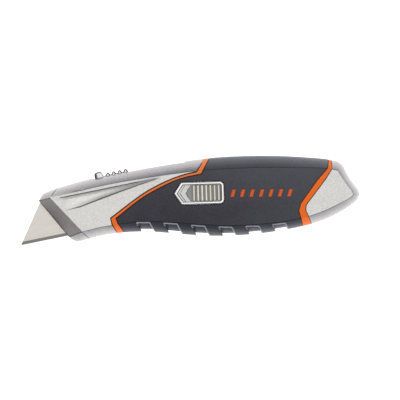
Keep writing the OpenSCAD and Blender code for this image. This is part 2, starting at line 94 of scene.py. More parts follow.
class Signal:
    """One value in a shader, with the usual operators."""

    def __init__(self, net: "Net", socket: bpy.types.NodeSocket) -> None:
        """Wraps one socket of the net."""
        self.net = net
        self.socket = socket

    def _math(self, operation: str, *values: "Number") -> "Signal":
        """Adds one Math node.

        Args:
            operation: the Math node's operation.
            values: its inputs, in order.

        Returns:
            The node's result.
        """
        numbered = {index: value for index, value in enumerate(values)}
        return self.net.node("ShaderNodeMath", {"operation": operation}, numbered)

    def __add__(self, other: "Number") -> "Signal":
        """Returns the sum."""
        return self._math("ADD", self, other)

    __radd__ = __add__

    def __mul__(self, other: "Number") -> "Signal":
        """Returns the product."""
        return self._math("MULTIPLY", self, other)

    __rmul__ = __mul__

    def __sub__(self, other: "Number") -> "Signal":
        """Returns this less the other."""
        return self._math("SUBTRACT", self, other)

    def __rsub__(self, other: "Number") -> "Signal":
        """Returns the other less this."""
        return self._math("SUBTRACT", other, self)

    def __truediv__(self, other: "Number") -> "Signal":
        """Returns this over the other."""
        return self._math("DIVIDE", self, other)

    def __abs__(self) -> "Signal":
        """Returns the size of this value."""
        return self._math("ABSOLUTE", self)

    def clipped(self) -> "Signal":
        """Returns this value held between 0 and 1."""
        return self.net.node("ShaderNodeClamp", {}, {"Value": self})

    def above(self, edge: float, soft: float) -> "Signal":
        """Returns 1 above the edge and 0 below it.

        Args:
            edge: where the result is one half.
            soft: the width of the slope between 0 and 1.

        Returns:
            The mask.
        """
        return ((self - edge) / soft + 0.5).clipped()

    def below(self, edge: float, soft: float) -> "Signal":
        """Returns 1 below the edge and 0 above it."""
        return 1 - self.above(edge, soft)

    def between(self, low: Step, high: Step) -> "Signal":
        """Returns 1 above the low step and below the high one."""
        return self.above(*low) * self.below(*high)

    def line(self, half_width: float, soft: float) -> "Signal":
        """Returns 1 where this distance is within the half width of nought."""
        return abs(self).below(half_width, soft)


Number = Union[float, int, Signal]
Paint = Union[Colour, Signal]
Value = Union[Number, Colour]
# A socket's name or number.
Key = Union[int, str]


class Net:
    """The node net of one finish."""

    def __init__(self, name: str) -> None:
        """Starts a material with one shader in it.

        Args:
            name: the material's name.
        """
        self.material = bpy.data.materials.new(name)
        self.material.use_nodes = True
        self.tree = self.material.node_tree
        self.tree.nodes.clear()
        self.shader = self.tree.nodes.new("ShaderNodeBsdfPrincipled")
        output = self.tree.nodes.new("ShaderNodeOutputMaterial")
        self.tree.links.new(self.shader.outputs["BSDF"], output.inputs["Surface"])

    def fill(self, node: bpy.types.Node, inputs: Dict[Key, Value]) -> None:
        """Links or sets the inputs of a node.

        Args:
            node: the node.
            inputs: socket name or number to signal, number or colour.
        """
        for key, value in inputs.items():
            if isinstance(value, Signal):
                self.tree.links.new(value.socket, node.inputs[key])
            elif isinstance(value, tuple) and len(value) == 3 and node.inputs[key].type == "RGBA":
                node.inputs[key].default_value = (*value, 1.0)
            else:
                node.inputs[key].default_value = value

    def node(self, kind: str, settings: Dict[str, str], inputs: Dict[Key, Value],
             out: Key = 0) -> Signal:
        """Adds a node, with its settings first and then its inputs.

        Args:
            kind: the node's type.
            settings: attribute name to value.
            inputs: socket name or number to signal, number or colour.
            out: the output to return.

        Returns:
            That output.
        """
        node = self.tree.nodes.new(kind)
        for key, value in settings.items():
            setattr(node, key, value)
        self.fill(node, inputs)
        return Signal(self, node.outputs[out])

    def mix(self, factor: Number, first: Paint, second: Paint) -> Signal:
        """Returns the first colour where the factor is 0 and the second where it is 1."""
        kind = {"data_type": "RGBA"}
        return self.node("ShaderNodeMix", kind, {0: factor, 6: first, 7: second}, 2)

    def place(self) -> Tuple[Signal, Signal, Signal]:
        """Finds where each point of the surface lies.

        Returns:
            Its X, Y and Z in the design frame, in millimetres.
        """
        where = self.node("ShaderNodeTexCoord", {}, {}, "Object")
        parts = self.tree.nodes.new("ShaderNodeSeparateXYZ")
        self.tree.links.new(where.socket, parts.inputs[0])
        x, y, z = (Signal(self, parts.outputs[i]) for i in range(3))
        return x / MM - TIP_X, y / MM - TIP_Y, z / MM

    def facing(self) -> Signal:
        """Returns 1 on a face that lies flat and 0 on an upright one."""
        normal = self.node("ShaderNodeTexCoord", {}, {}, "Normal")
        return abs(self.node("ShaderNodeSeparateXYZ", {}, {0: normal}, 2))

    def grain(self, size: float, detail: float = 3.0, stretch: Colour = (1, 1, 1)) -> Signal:
        """Adds a noise pattern.

        Args:
            size: the size of its grains, in millimetres.
            detail: how many finer layers it has.
            stretch: how much finer it is along X, Y and Z.

        Returns:
            The pattern, from -1 to 1.
        """
        where = self.node("ShaderNodeTexCoord", {}, {}, "Object")
        stretched = self.node("ShaderNodeMapping", {}, {"Vector": where, "Scale": stretch})
        noise = self.node(
            "ShaderNodeTexNoise", {"noise_dimensions": "3D"},
            {"Vector": stretched, "Scale": 1 / (size * MM), "Detail": detail})
        return (noise - 0.5) * 2

    def edges(self) -> Signal:
        """Returns 1 on the rounded edges of a piece and 0 elsewhere."""
        return self.node("ShaderNodeAttribute", {"attribute_name": EDGE_MARK}, {}, "Fac")

    def relief(self, height: Signal, depth: float = 0.012, strength: float = 0.5) -> None:
        """Raises the surface a little.

        Args:
            height: how high each point is.
            depth: how many millimetres a height of 1 is.
            strength: how much of it shows.
        """
        bump = self.node(
            "ShaderNodeBump", {}, {"Height": height, "Distance": depth * MM, "Strength": strength})
        self.fill(self.shader, {"Normal": bump})

    def finish(self, **inputs: Value) -> bpy.types.Material:
        """Sets the shader's inputs.

        Args:
            inputs: the value of each input, which is named with _ for each space.

        Returns:
            The finished material.
        """
        self.fill(self.shader, {key.replace("_", " "): value for key, value in inputs.items()})
        return self.material


def beside(x: Signal, y: Signal, start: Point, end: Point) -> Signal:
    """Measures how far a point is to the right of a line.

    Args:
        x: the surface's X.
        y: the surface's Y.
        start: where the line starts.
        end: where it ends.

    Returns:
        The distance, less than nought on the left.
    """
    run = Vector(end) - Vector(start)
    run.normalize()
    return (x - start[0]) * run[1] - (y - start[1]) * run[0]


def stroke(x: Signal, y: Signal, start: Point, end: Point, half: float, soft: float) -> Signal:
    """Returns 1 along the stroke from start to end.

    Args:
        x: the surface's X.
        y: the surface's Y.
        start: one end of the stroke.
        end: its other end.
        half: its half width.
        soft: the width of its soft edge.

    Returns:
        The mask.
    """
    run = Vector(end) - Vector(start)
    length = run.length
    run.normalize()
    along = (x - start[0]) * run[0] + (y - start[1]) * run[1]
    inside = along.above(0, soft) * along.below(length, soft)
    return beside(x, y, start, end).line(half, soft) * inside


# ---------------------------------------------------------------- finishes


@dataclass(frozen=True)
class Mottle:
    """How much of a second colour shows: all over, and with the fine and the broad grain."""

    base: float
    fine: float
    broad: float

    def share(self, fine: Signal, broad: Signal) -> Signal:
        """Returns the second colour's share, from 0 to 1."""
        return (fine * self.fine + broad * self.broad + self.base).clipped()


@dataclass(frozen=True)
class EdgeShade:
    """Soft shade along one side of an edge: how wide, from where on along X, and how dark."""

    width: Step
    start: Step
    amount: float
    soft: float = 0.5

    def shade(self, distance: Signal, x: Signal) -> Signal:
        """Returns the shade at a distance from the edge."""
        return distance.between((0, self.soft), self.width) * x.above(*self.start) * self.amount


@dataclass(frozen=True)
class ShellMetal:
    """Satin cast metal of the two half shells, with the blasted band on the nose painted darker as
    shade, painted shade on the rims and in the scoop, and a painted highlight in the scoop.
    """

    body: Colour = (0.57, 0.558, 0.542)
    # painted highlight: the inside of the scoop is painted paler, as if it caught the light
    scoop_highlight: Colour = (0.67, 0.658, 0.64)
    # painted shade: the rounded rims are painted darker and purple-grey where they turn away from the
    # light
    rim_sheen_and_shade: Colour = (0.245, 0.242, 0.265)
    # partly painted shade: the band's rougher grain is real, and its darker colour is painted shade
    # where it slants away from the light
    band: Colour = (0.285, 0.272, 0.262)
    # near black for the dark mottle of the grain, the scribed lines and seams, and the painted shade
    # in the scoop
    shade: Colour = (0.075, 0.074, 0.075)
    mottle: Mottle = Mottle(base=0.05, fine=0.24, broad=0.05)
    # The band runs from its front edge to its back edge, each given from the top down.
    band_front: Line = ((13.2, 20.0), (24.4, -0.7))
    band_back: Line = ((19.5, 20.3), (31.9, 0.5))
    band_soft: float = 0.2
    back_soft: float = 0.15
    # Scribed lines follow the band's front edge and its two ends.
    front_line: Step = (0.3, 0.4)
    front_line_back: float = 0.2
    top_line: Step = (0.22, 0.35)
    low_line: Step = (0.3, 0.35)
    line_end_soft: float = 0.3
    # Fine seams run on from the band to the edges of the shell.
    seam_up: Line = ((20.4, 21.1), (24.0, 24.6))
    seam_up_width: Step = (0.2, 0.35)
    seam_low: Line = ((31.9, 0.2), (35.6, -5.2))
    seam_low_width: Step = (0.22, 0.35)
    marks_amount: float = 0.85
    # The scoop lies between a bowed low edge and a straight ridge; shade is painted along both edges
    # and fades out to the tail, and a highlight is painted between them.
    low_middle: Point = (32.8, 12.9)
    low_rise: float = 0.165
    low_bow: float = 0.0004
    ridge: float = 19.5
    scoop_end: Step = (74, 4)
    scoop_fade: Step = (63, 14)
    scoop_faded: float = 0.45
    low_shade: EdgeShade = EdgeShade((1.2, 2.4), (37, 14), 0.7)
    ridge_shade: EdgeShade = EdgeShade((1.1, 2.2), (25, 6), 0.85)
    shaded_crease: Step = (0.35, 0.8)
    crease_start: Step = (34, 8)
    crease_amount: float = 0.35
    light_over_low: Step = (1.6, 1.6)
    light_under_ridge: Step = (1.5, 1.4)
    light_start: Step = (28, 4)
    # How flat a face is where the rim's painted shade starts and ends, and where the scoop's painted
    # highlight lies.
    rim_start: Step = (0.93, 0.05)
    rim_end: Step = (0.5, 0.75)
    light_flat: Step = (0.8, 0.1)
    roughness: float = 0.36
    band_roughness: float = 0.2
    fine_roughness: float = 0.05
    grain_relief: float = 0.3
    band_relief: float = 1.2
    seam_relief: float = 6
    relief_depth: float = 0.02
    relief_strength: float = 0.6

    def scoop(self, x: Signal, y: Signal) -> Tuple[Signal, Signal]:
        """Paints shade and a highlight into the scoop.

        Args:
            x: the surface's X.
            y: the surface's Y.

        Returns:
            The painted soft shade along the scoop's edges, and the painted highlight between them.
        """
        along = x - self.low_middle[0]
        low = y - self.low_middle[1] - along * self.low_rise + along * along * self.low_bow
        reach = x.below(*self.scoop_end) * (1 - x.above(*self.scoop_fade) * self.scoop_faded)
        # painted shade above the low edge, along its crease line and under the ridge; a painted
        # highlight lies between them
        hollow = self.low_shade.shade(low, x)
        shaded_crease = low.line(*self.shaded_crease) * x.above(*self.crease_start) * self.crease_amount
        under_ridge = self.ridge - y
        upper = self.ridge_shade.shade(under_ridge, x)
        between = low.above(*self.light_over_low) * under_ridge.above(*self.light_under_ridge)
        return (hollow + shaded_crease + upper) * reach, between * x.above(*self.light_start)

    def nose_band(self, x: Signal, y: Signal) -> Tuple[Signal, Signal]:
        """Lays out the band across the nose.

        Args:
            x: the surface's X.
            y: the surface's Y.

        Returns:
            The band, and the lines scribed along its front edge and its ends.
        """
        front_top, front_low = self.band_front
        back_top, back_low = self.band_back
        past_front = beside(x, y, front_low, front_top)
        past_back = beside(x, y, back_low, back_top)
        under_top = beside(x, y, front_top, back_top)
        over_low = beside(x, y, back_low, front_low)
        within = under_top.above(0, self.band_soft) * over_low.above(0, self.band_soft)
        across = past_front.above(0, self.band_soft) * past_back.below(0, self.back_soft)
        front = (past_front - self.front_line_back).line(*self.front_line) * within
        ends = under_top.line(*self.top_line) + over_low.line(*self.low_line)
        reach = past_front.above(0, self.line_end_soft) * past_back.below(0, self.line_end_soft)
        return across * within, front + ends * reach

    def material(self) -> bpy.types.Material:
        """Builds the material.

        Returns:
            The material.
        """
        net = Net("shell_metal")
        x, y, _ = net.place()
        fine = net.grain(size=0.8, detail=4)
        broad = net.grain(size=7)
        flat = net.facing()
        band, lines = self.nose_band(x, y)
        seams = (stroke(x, y, *self.seam_up, *self.seam_up_width)
                 + stroke(x, y, *self.seam_low, *self.seam_low_width))
        # painted shade on the rims, set by how far the surface turns from flat
        rim_sheen_and_shade = flat.below(*self.rim_start) * flat.above(*self.rim_end)
        scoop_shade, scoop_highlight_share = self.scoop(x, y)
        # the scribed lines and seams are dark joints; the scoop's part is painted shade
        marks = (lines + seams + scoop_shade).clipped()
        # painted highlight inside the scoop
        paint = net.mix(scoop_highlight_share * flat.above(*self.light_flat), self.body, self.scoop_highlight)
        paint = net.mix(rim_sheen_and_shade, paint, self.rim_sheen_and_shade)
        # painted shade darkens the band's colour; its grain and roughness are real
        paint = net.mix(band, paint, self.band)
        paint = net.mix(self.mottle.share(fine, broad), paint, self.shade)
        paint = net.mix(marks * self.marks_amount, paint, self.shade)
        rough = self.roughness + band * self.band_roughness + fine * self.fine_roughness
        height = fine * (self.grain_relief + band * self.band_relief) - seams * self.seam_relief
        net.relief(height, self.relief_depth, self.relief_strength)
        return net.finish(Base_Color=paint, Metallic=1.0, Roughness=rough)


@dataclass(frozen=True)
class GripRubber:
    """Fine-grained dark rubber of the grips, with painted highlights on the lips of its finger
    notches, a painted sheen on its rims and painted shade in and below its crease.
    """

    face: Colour = (0.026, 0.026, 0.038)
    face_rear: Colour = (0.094, 0.095, 0.115)
    # painted reflection: the rims are painted paler where they turn toward the bright surroundings
    rim_sheen_and_shade: Colour = (0.20, 0.20, 0.24)
    # painted shade: the crease, and the band of rim just below it
    crease_shade: Colour = (0.006, 0.006, 0.013)
    rim_shade: Colour = (0.012, 0.013, 0.034)
    # painted highlight on the bevelled lips of the finger notches
    notch_highlight: Colour = (0.42, 0.41, 0.47)
    # The face is paler towards the tail and the spine.
    paler_back: Step = (110, 70)
    paler_back_amount: float = 0.7
    paler_up: Step = (8, 24)
    paler_up_amount: float = 0.5
    fine_amount: float = 0.5
    broad_amount: float = 0.2
    # Below this line, on the belly, the painted rim sheen is narrower and the painted crease shade is
    # darker.
    belly_line: Line = ((59.2, 4.0), (125.0, -11.0))
    belly_soft: float = 0.4
    # How flat a face is where the painted rim sheen ends, and where the painted crease shade and the
    # painted shade below it lie.
    belly_rim: Step = (0.3, 0.6)
    upper_rim: Step = (0.42, 0.8)
    rim_amount: float = 0.9
    shaded_crease: Tuple[Step, Step] = ((0.80, 0.2), (0.975, 0.02))
    below_crease: Tuple[Step, Step] = ((0.5, 0.5), (0.97, 0.02))
    crease_amount: float = 0.5
    crease_more_in_belly: float = 0.4
    below_amount: float = 0.1
    below_more_in_belly: float = 0.6
    # Each notch starts at its front corner, and its top drops towards its rear corner.
    notch_starts: Tuple[float, ...] = (-0.4, -3.4, -7.2, -10.7, -13.1, -14.9)
    notch_drops: Tuple[float, ...] = (1.3, 1.7, 1.7, 1.5, 1.2, 0.6)
    notch_front: float = 59.2
    notch_pitch: float = 13.2
    notch_width: float = 6.3
    notch_side: Point = (2.3, -8.0)
    front_share: float = 0.2
    lip_width: Step = (0.26, 0.3)
    lip_flat: Step = (0.1, 0.1)
    roughness: float = 0.55
    fine_roughness: float = 0.08
    gloss: float = 0.35
    relief_depth: float = 0.03

    def notch_highlights(self, x: Signal, y: Signal) -> Signal:
        """Paints the highlights on the lips of the finger notches, where their bevels catch the
        light.

        Args:
            x: the surface's X.
            y: the surface's Y.

        Returns:
            1 along the front corner, the top and the rear side of each notch.
        """
        total = x * 0
        side = Vector(self.notch_side)
        for number, (start, drop) in enumerate(zip(self.notch_starts, self.notch_drops)):
            front = Vector((self.notch_front + self.notch_pitch * number, start))
            rear = front + Vector((self.notch_width, -drop))
            for end in (front + side * self.front_share, rear):
                total = total + stroke(x, y, front, end, *self.lip_width)
            total = total + stroke(x, y, rear, rear + side, *self.lip_width)
        return total.clipped()

    def material(self) -> bpy.types.Material:
        """Builds the material.

        Returns:
            The material.
        """
        net = Net("grip_rubber")
        x, y, _ = net.place()
        fine = net.grain(size=0.8, detail=4)
        broad = net.grain(size=9)
        edge = net.edges()
        flat = net.facing()
        in_belly = beside(x, y, *self.belly_line).above(0, self.belly_soft)
        paler = (x.above(*self.paler_back) * self.paler_back_amount
                 + y.above(*self.paler_up) * self.paler_up_amount)
        grainy = paler + fine * self.fine_amount + broad * self.broad_amount
        # painted reflection on the rims, set by how far the surface turns from flat
        rims = (flat.below(*self.belly_rim) * in_belly
                + flat.below(*self.upper_rim) * (1 - in_belly))
        # painted highlight along the notch lips
        notch_highlight = self.notch_highlights(x, y) * flat.above(*self.lip_flat)
        # painted shade in the crease and on the rounded edges, but not on the notch highlights
        shaded_crease = (flat.between(*self.shaded_crease) + edge).clipped() * (1 - notch_highlight)
        shaded_crease = shaded_crease * (in_belly * self.crease_more_in_belly + self.crease_amount)
        # painted shade just below the crease
        below = flat.between(*self.below_crease)
        below = below * (in_belly * self.below_more_in_belly + self.below_amount)
        paint = net.mix(grainy.clipped(), self.face, self.face_rear)
        paint = net.mix(rims * self.rim_amount, paint, self.rim_sheen_and_shade)
        paint = net.mix(below, paint, self.rim_shade)
        paint = net.mix(shaded_crease, paint, self.crease_shade)
        paint = net.mix(notch_highlight, paint, self.notch_highlight)
        net.relief(fine, self.relief_depth)
        rough = self.roughness + fine * self.fine_roughness
        return net.finish(Base_Color=paint, Roughness=rough, Specular_IOR_Level=self.gloss)


@dataclass(frozen=True)
class StripePlastic:
    """Bright stripe between the rubber and the metal, with shaded edges."""

    name: str = "stripe_plastic"
    colour: Colour = (0.96, 0.165, 0.014)
    pale: Colour = (0.80, 0.24, 0.07)
    edge_shade: Colour = (0.035, 0.010, 0.006)
    # The colour pales towards the spine.
    paler_up: Step = (9, 16)
    paler_amount: float = 0.75
    fine_amount: float = 0.08
    edge_amount: float = 0.92
    roughness: float = 0.42
    fine_roughness: float = 0.06
    gloss: float = 0.12
    # painted light: a faint glow that brightens the stripe
    painted_glow: float = 0.16
    relief_depth: float = 0.015
    relief_strength: float = 0.4

    def material(self) -> bpy.types.Material:
        """Builds the material, with a faint painted glow that brightens its pigment.

        Returns:
            The material.
        """
        net = Net(self.name)
        _, y, _ = net.place()
        fine = net.grain(size=0.5)
        paler = y.above(*self.paler_up) * self.paler_amount + fine * self.fine_amount
        paint = net.mix(paler.clipped(), self.colour, self.pale)
        paint = net.mix(net.edges() * self.edge_amount, paint, self.edge_shade)
        net.relief(fine, self.relief_depth, self.relief_strength)
        rough = self.roughness + fine * self.fine_roughness
        return net.finish(Base_Color=paint, Roughness=rough, Specular_IOR_Level=self.gloss,
                          Emission_Color=paint, Emission_Strength=self.painted_glow)


@dataclass(frozen=True)
class BladeSteel:
    """Ground steel with a bevel along the cutting edge and fine lines along the blade."""

    name: str = "blade_steel"
    flat: Colour = (0.535, 0.508, 0.482)
    stain: Colour = (0.34, 0.32, 0.30)
    ground: Colour = (0.25, 0.235, 0.215)
    ground_line: Colour = (0.16, 0.15, 0.14)
    keen: Colour = (0.75, 0.73, 0.70)
    mottle: Mottle = Mottle(base=0.05, fine=0.10, broad=0.08)
    # The cutting edge passes through this corner at this many degrees, and the bevel lies on it.
    corner: Point = (0.0, 0.0)
    turn: float = 0.0
    bevel: Step = (1.65, 0.25)
    keen_edge: Step = (0.18, 0.2)
    ground_line_base: float = 0.2
    ground_line_fine: float = 0.5
    ground_line_amount: float = 0.5
    keen_amount: float = 0.7
    # The lines run along the flat of the blade and across its bevel.
    along_stretch: Colour = (0.06, 1, 1)
    across_stretch: Colour = (1, 0.08, 1)
    roughness: float = 0.34
    fine_roughness: float = 0.05
    ground_roughness: float = 0.08
    relief_depth: float = 0.006

    def material(self) -> bpy.types.Material:
        """Builds the material.

        Returns:
            The material.
        """
        net = Net(self.name)
        x, y, _ = net.place()
        angle = math.radians(self.turn)
        up = (y - self.corner[1]) * math.cos(angle) - (x - self.corner[0]) * math.sin(angle)
        ground = up.below(*self.bevel)
        keen = up.below(*self.keen_edge)
        along = net.grain(size=0.5, stretch=self.along_stretch)
        across = net.grain(size=0.3, stretch=self.across_stretch)
        broad = net.grain(size=12)
        lines = (across * self.ground_line_fine + self.ground_line_base).clipped()
        paint = net.mix(ground, self.flat, self.ground)
        paint = net.mix(self.mottle.share(along, broad), paint, self.stain)
        paint = net.mix(ground * lines * self.ground_line_amount, paint, self.ground_line)
        paint = net.mix(keen * self.keen_amount, paint, self.keen)
        rough = self.roughness + along * self.fine_roughness + ground * self.ground_roughness
        net.relief(along * (1 - ground) + across * ground, self.relief_depth)
        return net.finish(Base_Color=paint, Metallic=1.0, Roughness=rough)


@dataclass(frozen=True)
class ButtonMetal:
    """Light metal of the thumb button, with painted shade on its front end, its teeth and its rounded
    edges.
    """

    block: Colour = (0.66, 0.65, 0.635)
    stain: Colour = (0.50, 0.49, 0.48)
    # painted shade for the front end, the teeth and the rounded edges
    dark: Colour = (0.03, 0.03, 0.034)
    mottle: Mottle = Mottle(base=0.15, fine=0.2, broad=0.3)
    # The front end is painted in shade up to this X, and the block's rear slope gets no painted shade
    # on its edges.
    end: Step = (44.4, 0.7)
    end_amount: float = 0.9
    rear_middle: float = 47.2
    rear_slope: Step = (0.75, 0.4)
    edge_amount: float = 0.95
    # The teeth are painted in shade behind this X and above this Y.
    teeth_front: Step = (47.7, 0.3)
    teeth_low: Step = (26.6, 0.5)
    teeth_amount: float = 0.8
    roughness: float = 0.34
    fine_roughness: float = 0.06

    def material(self) -> bpy.types.Material:
        """Builds the material.

        Returns:
            The material.
        """
        net = Net("button_metal")
        x, y, _ = net.place()
        fine = net.grain(size=0.35, detail=4)
        broad = net.grain(size=3)
        rear_slope = (x - self.rear_middle).line(*self.rear_slope)
        edges = net.edges() * self.edge_amount * (1 - rear_slope)
        end = x.below(*self.end) * self.end_amount
        teeth_shade = x.above(*self.teeth_front) * y.above(*self.teeth_low) * self.teeth_amount
        paint = net.mix(self.mottle.share(fine, broad), self.block, self.stain)
        # painted shade on the edges, the front end and the teeth
        paint = net.mix((edges + end + teeth_shade).clipped(), paint, self.dark)
        net.relief(fine)
        rough = self.roughness + fine * self.fine_roughness
        return net.finish(Base_Color=paint, Metallic=1.0, Roughness=rough)


@dataclass(frozen=True)
class PadMetal:
    """Warm metal of the latch's pad, with painted shade between its ribs, towards their ends and on
    its front slope, and a painted highlight across its middle.
    """

    rib: Colour = (0.66, 0.65, 0.58)
    # painted shade towards the ends of the ribs, with a painted highlight across their middle
    rib_shade: Colour = (0.40, 0.39, 0.35)
    gap_shade: Colour = (0.20, 0.195, 0.18)
    # painted shade on the front slope, which faces away from the light
    slope: Colour = (0.38, 0.38, 0.37)
    # Distances along the pad are measured from its middle, which leans with the latch.
    middle: Point = (92.95, 7.705)
    slope_end: Step = (-3.4, 0.3)
    lit_middle: float = 1.5
    lit: Step = (2.5, 5)
    shade_amount: float = 0.45
    fine_amount: float = 0.3
    # Between the ribs the metal lies below this Z, and there it is painted in shade.
    gap_top: Step = (22.7, 0.4)
    gap_amount: float = 0.9
    roughness: float = 0.4
    fine_roughness: float = 0.06

    def material(self) -> bpy.types.Material:
        """Builds the material.

        Returns:
            The material.
        """
        net = Net("pad_metal")
        x, y, z = net.place()
        turn = math.radians(LATCH_LEAN)
        along = (x - self.middle[0]) * math.cos(turn) - (y - self.middle[1]) * math.sin(turn)
        fine = net.grain(size=0.35, detail=4)
        slope = along.below(*self.slope_end)
        shaded_gaps = z.below(*self.gap_top) * (1 - slope)
        lit = (along - self.lit_middle).line(*self.lit)
        shaded = fine * self.fine_amount + self.shade_amount - lit * self.shade_amount
        paint = net.mix(shaded.clipped(), self.rib, self.rib_shade)
        paint = net.mix(slope, paint, self.slope)
        paint = net.mix(shaded_gaps * self.gap_amount, paint, self.gap_shade)
        net.relief(fine)
        rough = self.roughness + fine * self.fine_roughness
        return net.finish(Base_Color=paint, Metallic=1.0, Roughness=rough)


class Surface(Enum):
    """How the surface of a small part was made."""

    TURNED = "turned"
    MOULDED = "moulded"
    BLASTED = "blasted"
    BRUSHED = "brushed"

    def stretch(self) -> Colour:
        """Returns how much finer its grain is along X, Y and Z."""
        return {Surface.TURNED: (1, 1, 6), Surface.BRUSHED: (0.08, 1, 1)}.get(self, (1, 1, 1))


@dataclass(frozen=True)
class PartFinish:
    """Finish of a small part, with grain, faint stains and rounded edges, paler with wear on most
    parts and painted darker as shade on the latch's frame and plate.
    """

    name: str
    colour: Colour
    stain: Colour
    # colour of the rounded edges: paler wear on most parts, painted shade on the latch's frame and
    # plate
    edge: Colour
    metallic: float
    roughness: float
    surface: Surface = Surface.MOULDED
    edge_amount: float = 0.5
    mottle: Mottle = Mottle(base=0.2, fine=0.2, broad=0.35)
    fine_roughness: float = 0.06

    @lru_cache(maxsize=None)
    def material(self) -> bpy.types.Material:
        """Builds the material, once for all the parts that share it.

        Returns:
            The material.
        """
        net = Net(self.name)
        fine = net.grain(size=0.35, detail=4, stretch=self.surface.stretch())
        broad = net.grain(size=3.5)
        paint = net.mix(self.mottle.share(fine, broad), self.colour, self.stain)
        paint = net.mix(net.edges() * self.edge_amount, paint, self.edge)
        net.relief(fine)
        rough = self.roughness + fine * self.fine_roughness
        return net.finish(Base_Color=paint, Metallic=self.metallic, Roughness=rough)


CARRIER_PLASTIC = PartFinish(
    "carrier_plastic", colour=(0.10, 0.10, 0.11), stain=(0.07, 0.07, 0.078),
    edge=(0.2, 0.2, 0.21), metallic=0.0, roughness=0.45)
MAGNET_IRON = PartFinish(
    "magnet_iron", colour=(0.12, 0.115, 0.11), stain=(0.08, 0.075, 0.07),
    edge=(0.3, 0.3, 0.3), metallic=0.9, roughness=0.5, surface=Surface.TURNED)
STRIP_STEEL = PartFinish(
    "strip_steel", colour=(0.5, 0.49, 0.48), stain=(0.36, 0.35, 0.34),
    edge=(0.7, 0.7, 0.7), metallic=1.0, roughness=0.4, surface=Surface.BRUSHED)
SPRING_STEEL = PartFinish(
    "spring_steel", colour=(0.55, 0.54, 0.53), stain=(0.38, 0.37, 0.36),
    edge=(0.7, 0.7, 0.7), metallic=1.0, roughness=0.28, surface=Surface.TURNED)
# its rounded edges are painted darker, as shade
FRAME_METAL = PartFinish(
    "latch_frame", colour=(0.70, 0.695, 0.705), stain=(0.58, 0.58, 0.59),
    edge=(0.30, 0.30, 0.305), metallic=1.0, roughness=0.26, surface=Surface.BLASTED,
    edge_amount=0.4)
# its rounded edges are painted darker, as shade
PLATE_METAL = PartFinish(
    "latch_plate", colour=(0.58, 0.577, 0.57), stain=(0.40, 0.396, 0.39),
    edge=(0.12, 0.12, 0.12), metallic=1.0, roughness=0.38, surface=Surface.BRUSHED)
LATCH_STEEL = PartFinish(
    "latch_steel", colour=(0.5, 0.49, 0.48), stain=(0.36, 0.35, 0.34),
    edge=(0.66, 0.66, 0.66), metallic=1.0, roughness=0.36, surface=Surface.BRUSHED)
SCREW_STEEL = PartFinish(
    "screw_steel", colour=(0.42, 0.41, 0.40), stain=(0.28, 0.27, 0.26),
    edge=(0.6, 0.6, 0.6), metallic=1.0, roughness=0.32, surface=Surface.TURNED)


# ---------------------------------------------------------------- making pieces


@dataclass(frozen=True)
class EdgeWork:
    """How the edges of a piece are rounded: a width in millimetres and angles in degrees.

    Edges sharper than the least angle are rounded, and those blunter than the smooth angle
    are shaded smooth.
    """

    width: float
    least_angle: float = 40.0
    smooth_angle: float = 30.0
    segments: int = 2


def only(piece: bpy.types.Object) -> None:
    """Makes one piece the only one selected, and active.

    Args:
        piece: the piece.
    """
    if bpy.context.object and bpy.context.object.mode != "OBJECT":
        bpy.ops.object.mode_set(mode="OBJECT")
    bpy.ops.object.select_all(action="DESELECT")
    piece.select_set(True)
    bpy.context.view_layer.objects.active = piece


def only_nothing() -> None:
    """Leaves nothing selected."""
    bpy.ops.object.select_all(action="DESELECT")


def select_where(piece: bpy.types.Object, test: Callable[[Vector], bool]) -> None:
    """Selects the corners of a piece that pass a test.

    Args:
        piece: the piece.
        test: tells from a corner's place whether it is selected.
    """
    only(piece)
    bpy.ops.object.mode_set(mode="EDIT")
    bpy.ops.mesh.select_mode(type="VERT")
    bpy.ops.mesh.select_all(action="DESELECT")
    bpy.ops.object.mode_set(mode="OBJECT")
    for corner in piece.data.vertices:
        corner.select = test(corner.co)


def apply_modifier(piece: bpy.types.Object, modifier: bpy.types.Modifier) -> None:
    """Applies one modifier of the piece."""
    only(piece)
    bpy.ops.object.modifier_apply(modifier=modifier.name)


def weigh_edges(mesh: bpy.types.Mesh, least_angle: float) -> None:
    """Marks the edges to round: those sharper than the angle, but none on a folded sliver.

    Args:
        mesh: the mesh.
        least_angle: the least angle between two faces, in degrees.
    """
    beside_edge = {}
    for face in mesh.polygons:
        for key in face.edge_keys:
            beside_edge.setdefault(key, []).append(face)
    angles = {}
    slivers = set()
    for key, faces in beside_edge.items():
        if len(faces) != 2:
            continue
        angles[key] = math.degrees(faces[0].normal.angle(faces[1].normal, 0.0))
        if angles[key] > FOLD_ANGLE:
            slivers.add(min(faces, key=lambda face: face.area).index)
    weight = mesh.attributes.new("bevel_weight_edge", "FLOAT", "EDGE")
    for edge in mesh.edges:
        key = tuple(sorted(edge.vertices))
        on_sliver = any(face.index in slivers for face in beside_edge.get(key, ()))
        if angles.get(key, 0.0) > least_angle and not on_sliver:
            weight.data[edge.index].value = 1.0


